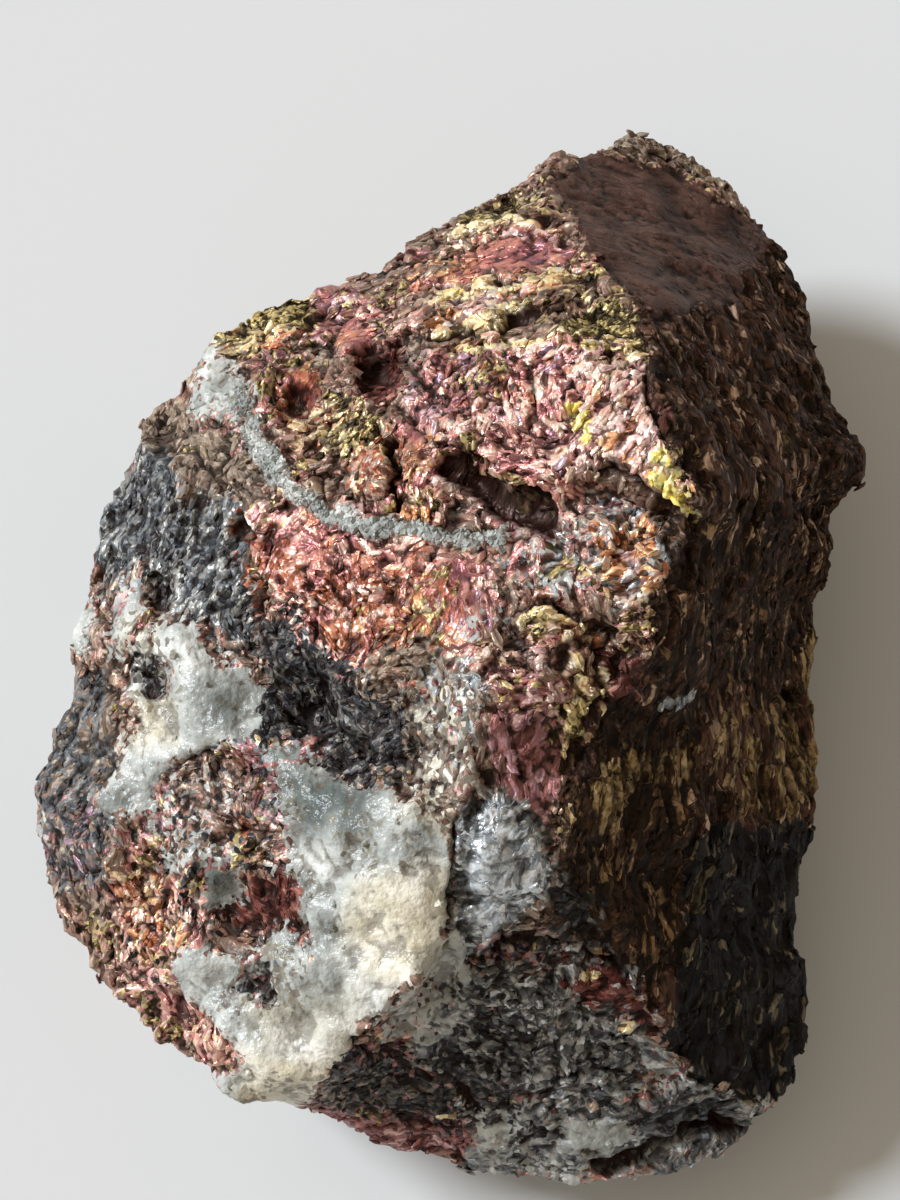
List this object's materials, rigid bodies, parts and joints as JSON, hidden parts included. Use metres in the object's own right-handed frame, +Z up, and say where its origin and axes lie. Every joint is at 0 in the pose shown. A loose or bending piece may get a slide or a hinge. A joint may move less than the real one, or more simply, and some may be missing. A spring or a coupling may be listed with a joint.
{
  "type": "bornite specimen",
  "caption": "Broken hand specimen of tarnished bornite with milky quartz and grey sulphide, lying on a flat of its underside.",
  "frame": {"origin": "on the table, under the middle of the specimen's outline seen from above", "axes": "+Z up from the flat it lies on, +Y along its long way towards the mauve tip, +X towards its steep dark side"},
  "size_m": [0.0456, 0.0598, 0.0291],
  "materials": {
    "tarnished_bornite": "rough broken ore, half metallic, iridescent pink, gold and purple tarnish with milky quartz and dark grey patches"
  },
  "bodies": {
    "root": {"bornite_specimen": "tarnished_bornite"}
  },
  "joints": []
}
